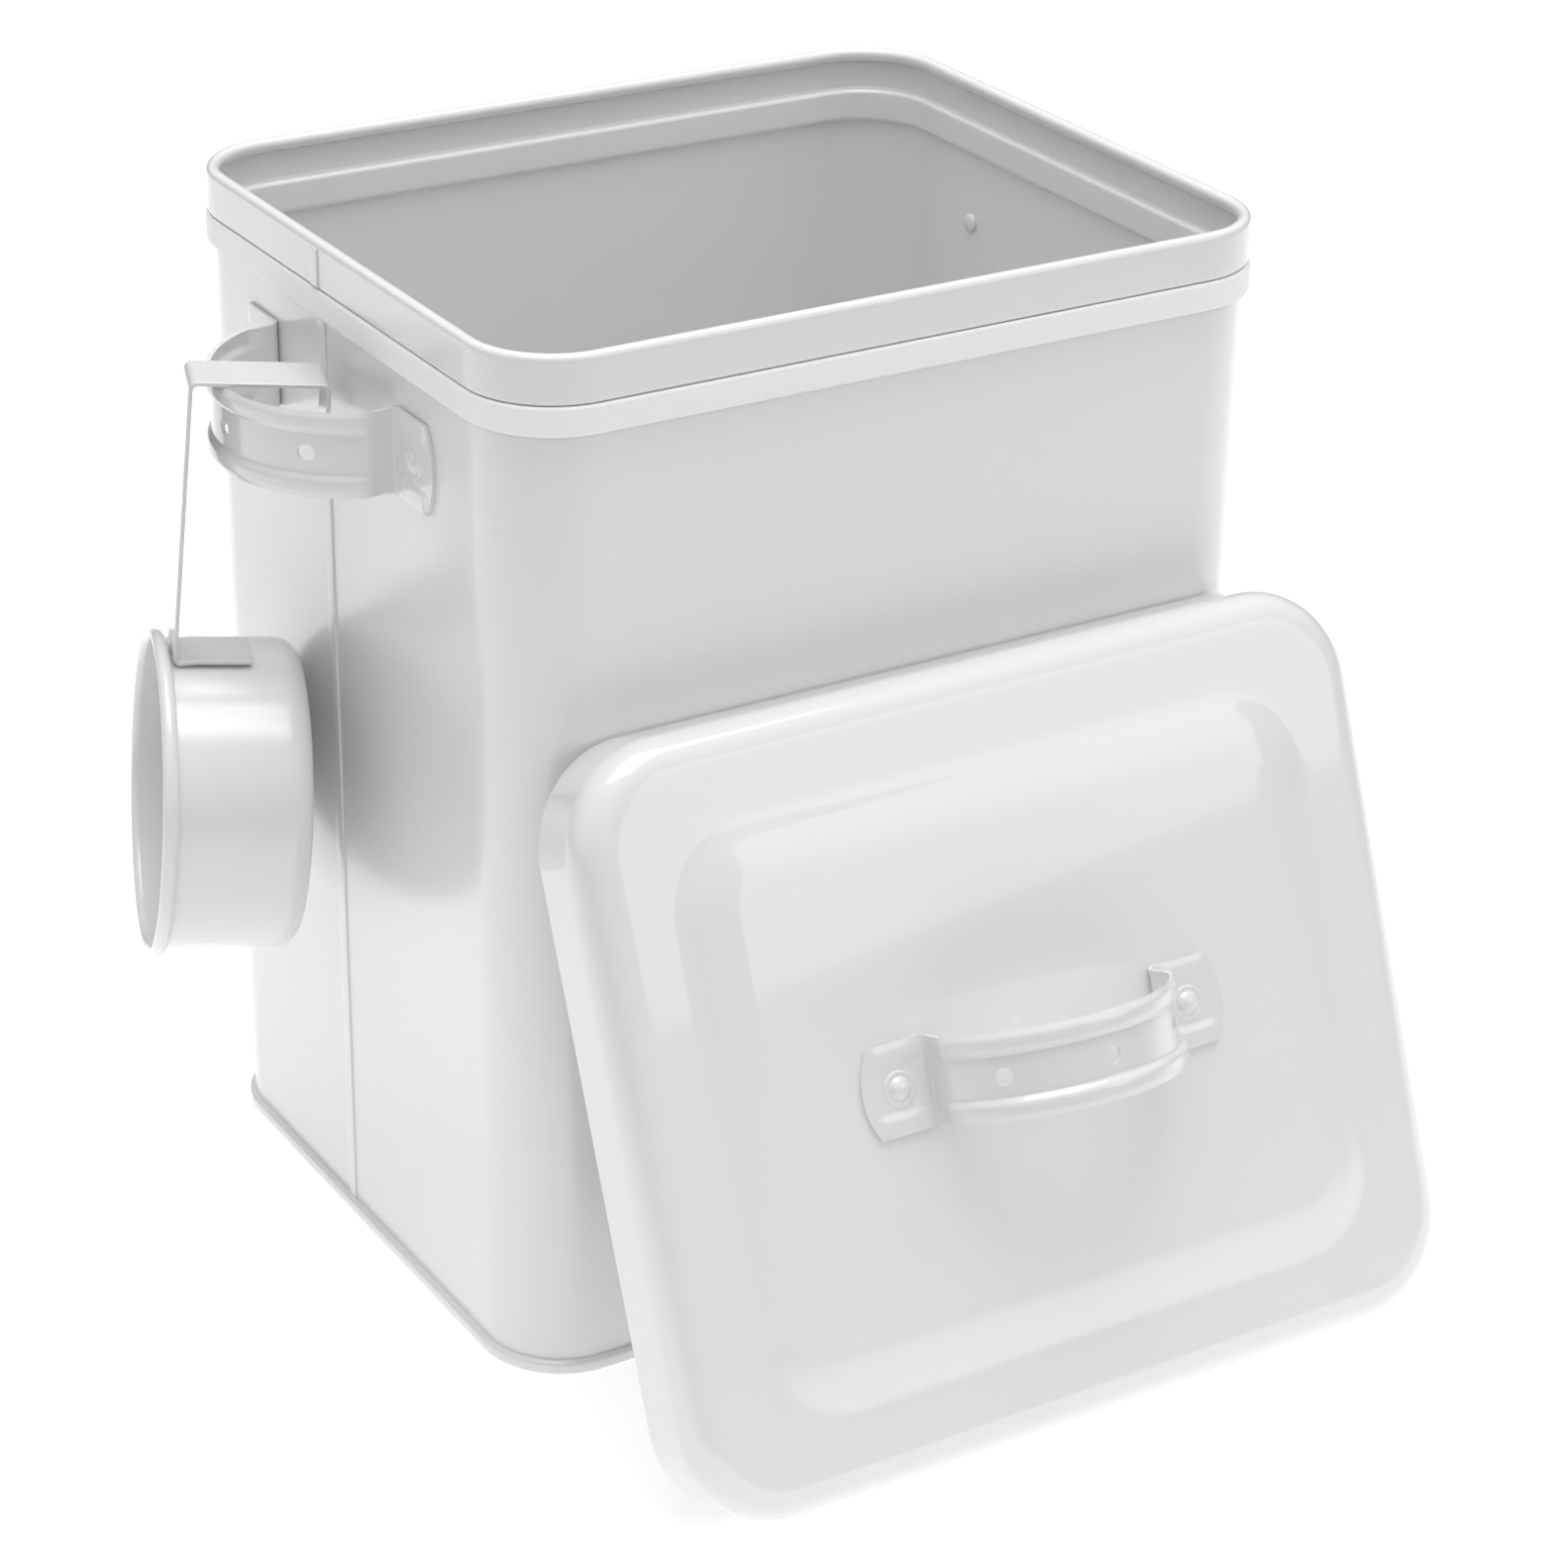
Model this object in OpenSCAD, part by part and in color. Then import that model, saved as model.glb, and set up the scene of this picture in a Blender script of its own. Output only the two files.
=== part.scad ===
/* [Bin] */
// Outside width of the bin, along X
bin_w = 250; // [200:1:320]
// Outside depth of the bin, along Y
bin_d = 210; // [160:1:280]
// Height from the floor to the rim
bin_h = 320; // [250:1:400]
// Outside radius of the upright corners
corner_r = 25; // [16:1:40]
// Thickness of the sheet steel of the bin and the lid
sheet_t = 0.8; // [0.6:0.1:1.2]
// Width of the rolled rim
rim_roll_w = 4.0; // [2.4:0.1:5]
// Height of the rolled rim
rim_roll_h = 4.2; // [2.4:0.1:6]

/* [Side seam] */
// Place of the upright seam on the left side, along Y
seam_y = 11.6; // [-30:0.1:30]
// Width of the folded seam
seam_w = 4.5; // [3:0.1:8]
// How far the folded seam stands out
seam_t = 0.4; // [0.3:0.1:0.8]

/* [Base] */
// Height of the rolled bead round the base
bead_h = 4.6; // [3.5:0.1:7]
// How far the bead stands out past the wall
bead_out = 2.0; // [1.4:0.1:3]
// How far the bead reaches in past the wall
bead_in = 1.2; // [0.8:0.1:2]
// Rounding of the bead's outer edges
bead_round = 0.9; // [0.4:0.1:1.3]
// Height of the recessed base panel over the floor
base_lift = 3.4; // [2:0.1:3.8]

/* [Gasket] */
// Height of the neck above the gasket
neck_h = 14.3; // [10:0.1:20]
// How far the neck stands out past the wall
neck_out = 1.8; // [0:0.1:2.2]
// Height of the gasket band
gasket_h = 8.7; // [6:0.1:12]
// Depth of the groove that the gasket sits in
groove_t = 1.8; // [1.2:0.1:2.6]
// How far the gasket stands out past the wall
gasket_out = 2.4; // [1.5:0.1:3]
// Rounding of the gasket's outer edges
gasket_round = 0.8; // [0.3:0.1:1.2]

/* [Handles] */
// Overall length of a handle
handle_l = 123; // [110:1:140]
// Width of the end tabs
tab_w = 26.5; // [24:0.1:32]
// Radius of the curved ends of the tabs
tab_end_r = 24; // [18:0.5:40]
// Width of the arch
arch_w = 25; // [22:0.1:26]
// Height of the arch over the face that it is riveted to
arch_h = 37; // [30:0.5:46]
// Outside radius of the arch
arch_r = 44; // [42:0.5:52]
// Half of the arch's outside span at its feet
arch_foot = 40.5; // [36:0.1:41.5]
// Thickness of the handle's sheet
handle_t = 1.2; // [0.8:0.1:1.6]
// Height of the pressed ribs along both edges
rib_h = 1.6; // [0.8:0.1:2.4]
// Width of each pressed rib
rib_w = 5.8; // [4:0.1:7]
// Radius of the holes in the arch
grip_hole_r = 2.6; // [1.5:0.1:3]
// Distance between the holes, along the handle
grip_hole_pitch = 29; // [20:0.5:32]
// Distance from the rim down to the side handles' middle
handle_drop = 47; // [40:1:100]
// How far the side handles sit back from the middle of the sides
handle_y = 3; // [-20:0.5:20]

/* [Rivets] */
// Distance between a handle's two rivets
rivet_pitch = 99; // [96:0.5:104]
// Radius of the rivet shank, and of its holes
shank_r = 2.0; // [1.5:0.1:2.5]
// Radius of the domed rivet head
head_r = 4.3; // [3.5:0.1:5.5]
// Height of the domed rivet head
head_h = 1.9; // [1.2:0.1:2.5]
// Radius of the closed rivet tail
tail_r = 3.0; // [2.6:0.1:4]
// Height of the closed rivet tail
tail_h = 1.6; // [1:0.1:2.5]

/* [Lid] */
// Gap between the gasket and the lid's hem when the lid is on
lid_gap = 2.0; // [0.5:0.1:3]
// Height of the lid's skirt and border
lid_h = 27; // [25:0.5:40]
// Outside radius of the lid's shoulder
shoulder_r = 10; // [6:0.5:12]
// Thickness of the hem at the lid's open edge
lid_hem_t = 1.6; // [1.6:0.1:2.4]
// Depth of the hem at the lid's open edge
lid_hem_h = 3; // [2:0.1:6]
// Distance from the lid's edge to the raised panel
border_w = 24; // [18:0.5:26]
// Height of the raised panel over the border
panel_rise = 2.2; // [1:0.1:4]
// Width of the slope round the raised panel
panel_slope = 8; // [4:0.5:12]
// Corner radius of the raised panel
panel_r = 28; // [20:0.5:34]
// Lean of the lid from upright where it stands against the bin
lid_lean = 22; // [16:0.5:30]
// How far the leaning lid stands to the right
lid_shift = 5.5; // [-20:0.5:20]
// Gap between the lid and what it stands on or leans on
lean_gap = 0.5; // [0.3:0.1:1]

/* [Scoop] */
// Outside radius of the cup
cup_r = 46.4; // [36:0.1:56]
// Depth of the cup
cup_d = 44; // [34:0.5:56]
// Thickness of the cup's sheet
cup_t = 0.8; // [0.6:0.1:1.2]
// Outside radius of the cup's rounded bottom edge
cup_round = 7; // [4:0.5:12]
// Radius of the rolled bead at the cup's mouth
cup_bead_r = 1.6; // [1.2:0.1:2]
// Distance from the cup's mouth to the strap
strap_back = 4.7; // [3.8:0.1:10]
// Width of the strap
strap_w = 15.5; // [10:0.5:20]
// Thickness of the strap
strap_t = 1.2; // [0.8:0.1:2]
// Length of the upright strap, from its top to the cup
strap_l = 90; // [70:1:120]
// Length of the strap's foot on the cup
strap_foot = 23; // [14:0.5:28]
// Drop of the hook's lip
lip_l = 14; // [8:0.5:16]
// Outside radius of the strap's bends
bend_r = 2.6; // [2:0.1:4]
// Gap between the handle's arch and the strap that hangs on it
hook_free = 6; // [3:0.1:10]
// Gap between the hook's lip and the bin's side
lip_free = 5; // [3:0.1:8]
// Least gap between the cup and the bin's side
cup_free = 3; // [1:0.1:6]
// Gap between the strap and the handle under it
hang_gap = 0.4; // [0.3:0.1:1]
// How far the scoop hangs back from the handle's middle
scoop_back = 7; // [0:0.5:12]
// Turn of the hanging scoop, seen from above
scoop_turn = 18; // [0:0.5:24]
// Tilt of the hanging scoop, cup swung outwards
scoop_tilt = 5.3; // [0:0.1:8]
// Sideways lean of the hanging scoop
scoop_roll = 4.5; // [0:0.1:6]

/* [Hidden] */
$fn = 96;
enamel = [0.86, 0.86, 0.86];
silicone = [0.97, 0.97, 0.96];
cut = 1;
// Keeps a small core in a fully rounded box
core = 0.01;

// How far the wall's foot reaches down into the bead's rounding
foot_reach = 1;
wall_foot = bead_h - bead_round - foot_reach;

// Gasket groove
groove_top = bin_h - neck_h;
groove_low = groove_top - gasket_h;

// Side handles' middle
handle_z = bin_h - handle_drop;

// Lid, outside
lid_over = gasket_out + lid_gap + lid_hem_t;
lid_w = bin_w + 2 * lid_over;
lid_d = bin_d + 2 * lid_over;
lid_r = corner_r + lid_over;
panel_w = lid_w - 2 * border_w;
panel_d = lid_d - 2 * border_w;
panel_top = lid_h + panel_rise;

// Handle arch: its centre lies below the face that the tabs sit on
arch_c = arch_h - arch_r;
floor_r = arch_r - rib_h;
hole_lean = asin(grip_hole_pitch / floor_r);

// Scoop: how far its parts reach in towards the bin from the strap's outer face
reach_x = cos(scoop_tilt) * cos(scoop_turn);
drop_x = sin(scoop_tilt) * cos(scoop_turn);
cup_reach = (cup_d - strap_back) * reach_x - (strap_l + cup_r) * drop_x + cup_r * sin(scoop_turn);
stand_off = max(arch_h + hook_free, cup_reach + cup_free);
hook_l = (stand_off - lip_free) / reach_x;
saddle = (stand_off - arch_h + handle_t + rib_h) / reach_x + strap_w / 2 * sin(scoop_turn);
saddle_rise = saddle * sin(scoop_tilt) + strap_w / 2 * sin(scoop_roll);
scoop_z = handle_z + arch_w / 2 + hang_gap + strap_t + saddle_rise;

// ---- shared shapes ----

// Flat rectangle with round corners
module round_rect(w, d, r) {
    square([w - 2 * r, d], center = true);
    square([w, d - 2 * r], center = true);
    for (x = [-1, 1], y = [-1, 1])
        translate([x * (w / 2 - r), y * (d / 2 - r)])
            circle(r = r);
}

// Flat box from one corner, with all four corners rounded
module round_box(w, h, r) {
    translate([w / 2, h / 2])
        round_rect(w, h, r);
}

// Sweeps a flat section round a rectangle with round corners.
// The section's x is counted from the corner's centre, so x = r is the outside.
module swept(w, d, r) {
    for (turn = [0, 180])
        rotate([0, 0, turn]) {
            translate([w / 2 - r, d / 2 - r, 0]) {
                rotate_extrude(angle = 90)
                    children();
                rotate([90, 0, 0])
                    linear_extrude(d - 2 * r)
                        children();
            }
            translate([-(w / 2 - r), d / 2 - r, 0])
                rotate([0, 0, 90]) {
                    rotate_extrude(angle = 90)
                        children();
                    rotate([90, 0, 0])
                        linear_extrude(w - 2 * r)
                            children();
                }
        }
}

// ---- bin ----

module wall_section() {
    outside = corner_r;
    inside = corner_r - sheet_t;
    groove_in = inside - groove_t;
    neck_outside = outside + neck_out;
    translate([inside, wall_foot])
        square([sheet_t, groove_low - wall_foot]);
    translate([groove_in, groove_low - sheet_t])
        square([outside - groove_in, sheet_t]);
    translate([groove_in, groove_low - sheet_t])
        square([sheet_t, gasket_h + 2 * sheet_t]);
    translate([groove_in, groove_top])
        square([neck_outside - groove_in, sheet_t]);
    translate([neck_outside - sheet_t, groove_top])
        square([sheet_t, neck_h - rim_roll_h / 2]);
    translate([neck_outside - rim_roll_w, bin_h - rim_roll_h])
        round_box(rim_roll_w, rim_roll_h, min(rim_roll_w, rim_roll_h) / 2 - core);
}

// The folded seam stands out of the left side, below and above the gasket
module seam_strip() {
    for (span = [[bead_h, groove_low - sheet_t, 0], [groove_top + sheet_t, bin_h - rim_roll_h, neck_out]])
        translate([-bin_w / 2 - span[2] - seam_t, seam_y - seam_w / 2, span[0]])
            cube([seam_t + sheet_t / 2, seam_w, span[1] - span[0]]);
}

module body_shell() {
    color(enamel)
        difference() {
            union() {
                swept(bin_w, bin_d, corner_r)
                    wall_section();
                seam_strip();
            }
            for (side = [-1, 1], end = [-1, 1])
                side_place(side)
                    translate([end * rivet_pitch / 2, 0, -sheet_t - cut])
                        cylinder(r = shank_r, h = sheet_t + 2 * cut);
        }
}

// The bead is folded round the wall's lower edge
module bead_section() {
    difference() {
        translate([corner_r - sheet_t - bead_in, 0])
            round_box(bead_in + sheet_t + bead_out, bead_h, bead_round);
        translate([corner_r - sheet_t, wall_foot])
            square([sheet_t, bead_h]);
    }
}

module base_panel() {
    edge = sheet_t + bead_in - bead_round;
    color(enamel) {
        swept(bin_w, bin_d, corner_r)
            bead_section();
        translate([0, 0, base_lift - sheet_t])
            linear_extrude(sheet_t)
                round_rect(bin_w - 2 * edge, bin_d - 2 * edge, corner_r - edge);
    }
}

module gasket() {
    color(silicone)
        swept(bin_w, bin_d, corner_r)
            translate([corner_r - groove_t, groove_low])
                gasket_section();
}

module gasket_section() {
    thick = groove_t + gasket_out;
    square([thick - gasket_round, gasket_h]);
    intersection() {
        round_box(thick, gasket_h, gasket_round);
        translate([thick / 2, 0])
            square([thick / 2, gasket_h]);
    }
}

// ---- handles: drawn with x along the handle and z away from the face it is riveted to ----

// Stands a piece on the bin's left (-1) or right (1) side
module side_place(side) {
    translate([side * bin_w / 2, handle_y, handle_z])
        rotate([90, 0, side * 90])
            children();
}

module arch_outline(outside, foot, thick) {
    difference() {
        intersection() {
            translate([0, arch_c])
                circle(r = outside, $fn = 180);
            translate([-foot, 0])
                square([2 * foot, arch_h + cut]);
        }
        intersection() {
            translate([0, arch_c])
                circle(r = outside - thick, $fn = 180);
            translate([-foot + thick, -cut])
                square([2 * (foot - thick), arch_h + cut]);
        }
    }
}

module tab_outline() {
    intersection() {
        translate([arch_foot - rib_h - handle_t, -tab_w / 2])
            square([handle_l / 2, tab_w]);
        translate([handle_l / 2 - tab_end_r, 0])
            circle(r = tab_end_r);
    }
}

module strap_handle() {
    color(enamel)
        difference() {
            union() {
                rotate([90, 0, 0])
                    linear_extrude(arch_w, center = true)
                        arch_outline(floor_r, arch_foot - rib_h, handle_t);
                for (edge = [-1, 1])
                    translate([0, edge * (arch_w - rib_w) / 2, 0])
                        rotate([90, 0, 0])
                            linear_extrude(rib_w, center = true)
                                arch_outline(arch_r, arch_foot, rib_h + handle_t);
                for (side = [0, 1])
                    mirror([side, 0, 0])
                        linear_extrude(handle_t)
                            tab_outline();
            }
            for (hole = [-1, 0, 1])
                translate([0, 0, arch_c])
                    rotate([0, hole * hole_lean, 0])
                        translate([0, 0, floor_r - handle_t - cut])
                            cylinder(r = grip_hole_r, h = handle_t + 2 * cut);
            for (side = [-1, 1])
                translate([side * rivet_pitch / 2, 0, -cut])
                    cylinder(r = shank_r, h = handle_t + 2 * cut);
        }
}

// Domed head on the tab, shank through tab and sheet, closed tail behind the sheet
module rivet() {
    dome_r = (head_r * head_r + head_h * head_h) / (2 * head_h);
    color(enamel) {
        intersection() {
            translate([0, 0, handle_t + head_h - dome_r])
                sphere(r = dome_r);
            translate([0, 0, handle_t])
                cylinder(r = head_r, h = head_h + cut);
        }
        translate([0, 0, -sheet_t - tail_h / 2])
            cylinder(r = shank_r, h = handle_t + sheet_t + tail_h / 2 + head_h / 4);
        translate([0, 0, -sheet_t - tail_h])
            cylinder(r = tail_r, h = tail_h);
    }
}

module side_rivet(side, end) {
    side_place(side)
        translate([side * end * rivet_pitch / 2, 0, 0])
            rivet();
}

module left_handle() {
    side_place(-1)
        strap_handle();
}

module right_handle() {
    side_place(1)
        strap_handle();
}

// ---- lid: drawn lying down, open edge at z = 0, then leaned against the bin's front ----

module lid_place() {
    lean_y = -bin_d / 2 - lean_gap - lid_d * sin(lid_lean);
    translate([lid_shift, lean_y, lean_gap])
        rotate([90 - lid_lean, 0, 0])
            translate([0, lid_d / 2, 0])
                children();
}

module skirt_section() {
    translate([lid_r - sheet_t, 0])
        square([sheet_t, lid_h - shoulder_r]);
    translate([lid_r - lid_hem_t, 0])
        square([lid_hem_t, lid_hem_h]);
    intersection() {
        translate([lid_r - shoulder_r, lid_h - shoulder_r])
            difference() {
                circle(r = shoulder_r);
                circle(r = shoulder_r - sheet_t);
            }
        translate([lid_r - shoulder_r, lid_h - shoulder_r])
            square(shoulder_r);
    }
}

module slope_section() {
    polygon([
        [panel_r, lid_h - sheet_t],
        [panel_r, lid_h],
        [panel_r - panel_slope, panel_top],
        [panel_r - panel_slope, panel_top - sheet_t],
    ]);
}

module lid_pan() {
    color(enamel)
        lid_place()
            difference() {
                union() {
                    swept(lid_w, lid_d, lid_r)
                        skirt_section();
                    translate([0, 0, lid_h - sheet_t])
                        linear_extrude(sheet_t)
                            difference() {
                                round_rect(lid_w - 2 * shoulder_r, lid_d - 2 * shoulder_r, lid_r - shoulder_r);
                                round_rect(panel_w, panel_d, panel_r);
                            }
                    swept(panel_w, panel_d, panel_r)
                        slope_section();
                    translate([0, 0, panel_top - sheet_t])
                        linear_extrude(sheet_t)
                            round_rect(
                                panel_w - 2 * panel_slope,
                                panel_d - 2 * panel_slope,
                                panel_r - panel_slope
                            );
                }
                for (end = [-1, 1])
                    translate([end * rivet_pitch / 2, 0, panel_top - sheet_t - cut])
                        cylinder(r = shank_r, h = sheet_t + 2 * cut);
            }
}

module lid_handle() {
    lid_place()
        translate([0, 0, panel_top])
            strap_handle();
}

module lid_rivet(end) {
    lid_place()
        translate([end * rivet_pitch / 2, 0, panel_top])
            rivet();
}

// ---- scoop: drawn with the strap's top at the origin, x towards the cup's bottom ----

module scoop_place() {
    translate([-bin_w / 2 - stand_off, handle_y + scoop_back, scoop_z])
        rotate([scoop_roll, scoop_tilt, -scoop_turn])
            children();
}

// Turns the z axis to run along the cup, from its mouth to its bottom
module cup_axis() {
    translate([-strap_back, 0, -strap_l - cup_r])
        rotate([0, 90, 0])
            children();
}

module cup_section() {
    difference() {
        union() {
            square([cup_r, cup_d - cup_round]);
            square([cup_r - cup_round, cup_d]);
            translate([cup_r - cup_round, cup_d - cup_round])
                circle(r = cup_round);
        }
        translate([0, -cut])
            square([cup_r - cup_t, cup_d - cup_round + cut]);
        translate([0, -cut])
            square([cup_r - cup_round, cup_d - cup_t + cut]);
        translate([cup_r - cup_round, cup_d - cup_round])
            circle(r = cup_round - cup_t);
    }
    translate([cup_r - cup_t + cup_bead_r, cup_bead_r])
        circle(r = cup_bead_r);
}

module scoop_cup() {
    color(enamel)
        scoop_place()
            cup_axis()
                rotate_extrude($fn = 180)
                    cup_section();
}

// Side outline of the strap: lip, hook and upright, with round bends
module hook_outline() {
    difference() {
        translate([0, -strap_l - strap_t])
            square([hook_l, strap_l + strap_t]);
        translate([strap_t, -strap_l - cut - strap_t])
            square([hook_l - 2 * strap_t, strap_l + cut]);
        translate([hook_l / 2, -strap_l - cut - strap_t])
            square([hook_l, strap_l + cut + strap_t - lip_l]);
        for (side = [0, 1])
            translate([side * hook_l, 0])
                mirror([side, 0])
                    difference() {
                        translate([-cut, -bend_r])
                            square(bend_r + cut);
                        translate([bend_r, -bend_r])
                            circle(r = bend_r);
                    }
    }
    for (side = [0, 1])
        translate([side * hook_l, 0])
            mirror([side, 0])
                difference() {
                    translate([strap_t, -bend_r])
                        square(bend_r - strap_t);
                    translate([bend_r, -bend_r])
                        circle(r = bend_r - strap_t);
                }
}

module scoop_strap() {
    color(enamel)
        scoop_place()
            difference() {
                union() {
                    rotate([90, 0, 0])
                        linear_extrude(strap_w, center = true)
                            hook_outline();
                    intersection() {
                        cup_axis()
                            cylinder(r = cup_r + strap_t, h = cup_d, $fn = 180);
                        translate([0, -strap_w / 2, -strap_l - cup_r])
                            cube([strap_foot, strap_w, cup_r + strap_t]);
                    }
                }
                cup_axis()
                    cylinder(r = cup_r, h = cup_d, $fn = 180);
            }
}

body_shell();
base_panel();
gasket();
left_handle();
right_handle();
side_rivet(-1, -1);  // rivet_left_front
side_rivet(-1, 1);  // rivet_left_rear
side_rivet(1, -1);  // rivet_right_front
side_rivet(1, 1);  // rivet_right_rear
lid_pan();
lid_handle();
lid_rivet(-1);  // lid_rivet_left
lid_rivet(1);  // lid_rivet_right
scoop_cup();
scoop_strap();
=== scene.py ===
import math

import bmesh
import bpy
from mathutils import Matrix, Vector


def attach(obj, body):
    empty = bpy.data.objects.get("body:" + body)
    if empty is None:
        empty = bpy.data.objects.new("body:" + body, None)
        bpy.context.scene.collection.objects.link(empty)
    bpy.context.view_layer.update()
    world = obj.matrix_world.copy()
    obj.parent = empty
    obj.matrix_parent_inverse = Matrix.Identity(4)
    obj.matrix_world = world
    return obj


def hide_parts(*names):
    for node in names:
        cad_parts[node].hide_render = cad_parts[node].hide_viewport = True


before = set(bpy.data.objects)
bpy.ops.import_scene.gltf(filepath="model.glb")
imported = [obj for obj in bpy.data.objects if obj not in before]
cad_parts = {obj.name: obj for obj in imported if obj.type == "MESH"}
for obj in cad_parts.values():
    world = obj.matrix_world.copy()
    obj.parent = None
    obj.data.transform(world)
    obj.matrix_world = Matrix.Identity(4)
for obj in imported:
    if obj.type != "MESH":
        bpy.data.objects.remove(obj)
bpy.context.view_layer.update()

# Pieces are drawn in millimetres and brought to metres when they are put in place
MM = 0.001
NEAR = 0.004

# ---- sizes, as in the part's source ----
# The seam stands out a little more, and the lid's panel slopes more widely, than they do there

BIN_W, BIN_D, BIN_H, CORNER_R = 250, 210, 320, 25
SHEET_T = 0.8
FOLD_R = 0.9
WALL_IN_BEAD = 2
GROOVE_LOW, GROOVE_TOP, GROOVE_T = 297.0, 305.7, 1.8
NECK_OUT, RIM_ROLL_W, RIM_ROLL_H = 1.8, 4.0, 4.2
ROLL_PLAY, ROLL_END_GAP = 0.05, 0.1
GASKET_OUT, GASKET_PLAY, GASKET_EDGE_R, GASKET_BACK_R = 2.4, 0.1, 0.9, 0.3
BEAD_H, BEAD_OUT, BEAD_IN = 4.6, 2.0, 1.2
BEAD_OUTER_R, BEAD_INNER_R = 1.5, 0.6
BASE_TOP, BASE_FOOT, BASE_PLAY, BASE_BORDER = 3.4, 0.7, 0.3, 6
SEAM_Y, SEAM_W, SEAM_T, SEAM_EDGE_R = 11.6, 4.5, 0.6, 0.4
SEAM_IN_BEAD, SEAM_BELOW_RIM = 0.5, 2

HANDLE_L, HANDLE_T, TAB_W, TAB_END_R = 123, 1.2, 26.5, 24
ARCH_W, ARCH_H, ARCH_R, ARCH_FOOT = 25, 37, 44, 40.5
RIB_H, RIB_FROM, RIB_FULL = 1.6, 6.0, 8.2
EDGE_DROP, EDGE_FROM, EDGE_FULL = 0.9, 10.4, 13.0
TAB_BEND_R, ARCH_BEND_R, TAB_SHARE, FLAT_SHARE = 2.0, 2.5, 0.20, 0.02
STRAP_EDGE = 0.22
GRIP_HOLE_R, GRIP_HOLE_PITCH = 2.6, 29
HANDLE_Y, HANDLE_Z = 3, 273
RIVET_PITCH = 99

# Half of a rivet's section, as (radius, height over the sheet's face)
RIVET_DOME = [(0, 3.1), (0.9, 3.03), (1.8, 2.8), (2.6, 2.35), (3.15, 1.8), (3.4, 1.42)]
RIVET_RING = [(3.8, 1.34), (4.3, 1.5), (4.7, 1.52), (5.1, 1.34), (5.3, 1.1)]
RIVET_SHANK = [(2.0, 1.0), (2.0, -0.8)]
RIVET_TAIL = [(3.0, -0.85), (3.05, -1.3), (2.7, -1.9), (1.9, -2.25), (0.9, -2.4), (0, -2.42)]

LID_W, LID_D, LID_R, LID_H, SHOULDER_R = 262, 222, 31, 27, 10
LID_HEM_H, LID_HEM_T, LID_HEM_R, LID_INNER_R = 3.2, 0.9, 0.45, 14
BORDER_W, PANEL_RISE, PANEL_SLOPE, PANEL_R = 24, 2.2, 20, 28
PANEL_FLAT, PANEL_HOLD, PANEL_RIM, PANEL_RIM_HOLD = 6, 1.5, 2.5, 1.2
PANEL_STEPS, PANEL_FIRST_SHARE = 24, 0.36
LID_LEAN, LID_SHIFT, LEAN_GAP = 22, 5.5, 0.5

CUP_R, CUP_D, CUP_T, CUP_ROUND, CUP_BEAD_R, CURL_L = 46.4, 44, 0.8, 7, 1.6, 4.5
STRAP_BACK, STRAP_W, STRAP_T, STRAP_L = 4.7, 15.5, 1.2, 90
STRAP_FOOT, LIP_L, HOOK_L = 23, 14, 40.13
CURL_FROM, CURL_SWEEP, CURL_STEPS = 130, 310, 24
FOOT_STEPS, FOOT_STEP, FOOT_MARGIN, HANGER_EDGE = 8, 0.5, 2, 0.3
SCOOP_AT = (-168, 10, 288.79)
SCOOP_TURN, SCOOP_TILT, SCOOP_ROLL = 18, 5.3, 4.5


# ---- the bench: how pieces are drawn, bent and finished ----


def alone(piece):
    bpy.ops.object.select_all(action="DESELECT")
    piece.select_set(True)
    bpy.context.view_layer.objects.active = piece


def edit(piece):
    alone(piece)
    bpy.ops.object.mode_set(mode="EDIT")
    bpy.ops.mesh.select_mode(type="VERT")


def done():
    bpy.ops.object.mode_set(mode="OBJECT")


def pick(piece, wanted):
    """Selects the points whose place satisfies wanted."""
    mesh = bmesh.from_edit_mesh(piece.data)
    mesh.select_mode = {"VERT"}
    for point in mesh.verts:
        point.select_set(False)
    mesh.select_flush(False)
    for point in mesh.verts:
        if wanted(point.co):
            point.select_set(True)
    mesh.select_flush_mode()
    bmesh.update_edit_mesh(piece.data)


def extrude(way):
    bpy.ops.mesh.extrude_region_move(TRANSFORM_OT_translate={"value": way})


def draw_on(points):
    """Draws a line through points, from one loose point, in the mesh being edited."""
    bpy.ops.mesh.select_all(action="DESELECT")
    bpy.ops.mesh.primitive_plane_add(size=1)
    bpy.ops.mesh.merge(type="CENTER")
    bpy.ops.transform.translate(value=points[0])
    for here, there in zip(points, points[1:]):
        step = Vector(there) - Vector(here)
        bpy.ops.mesh.extrude_vertices_move(TRANSFORM_OT_translate={"value": step})


def new_piece(name, points):
    """A new piece that starts as one line, and stays in edit mode."""
    bpy.ops.object.select_all(action="DESELECT")
    bpy.ops.mesh.primitive_plane_add(size=1)
    piece = bpy.context.object
    piece.name = piece.data.name = name
    edit(piece)
    bpy.ops.mesh.select_all(action="SELECT")
    bpy.ops.mesh.delete(type="VERT")
    draw_on(points)
    return piece


def close_line(piece, first, last):
    ends = (Vector(first), Vector(last))
    pick(piece, lambda p: any((p - end).length < NEAR for end in ends))
    bpy.ops.mesh.edge_face_add()


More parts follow.
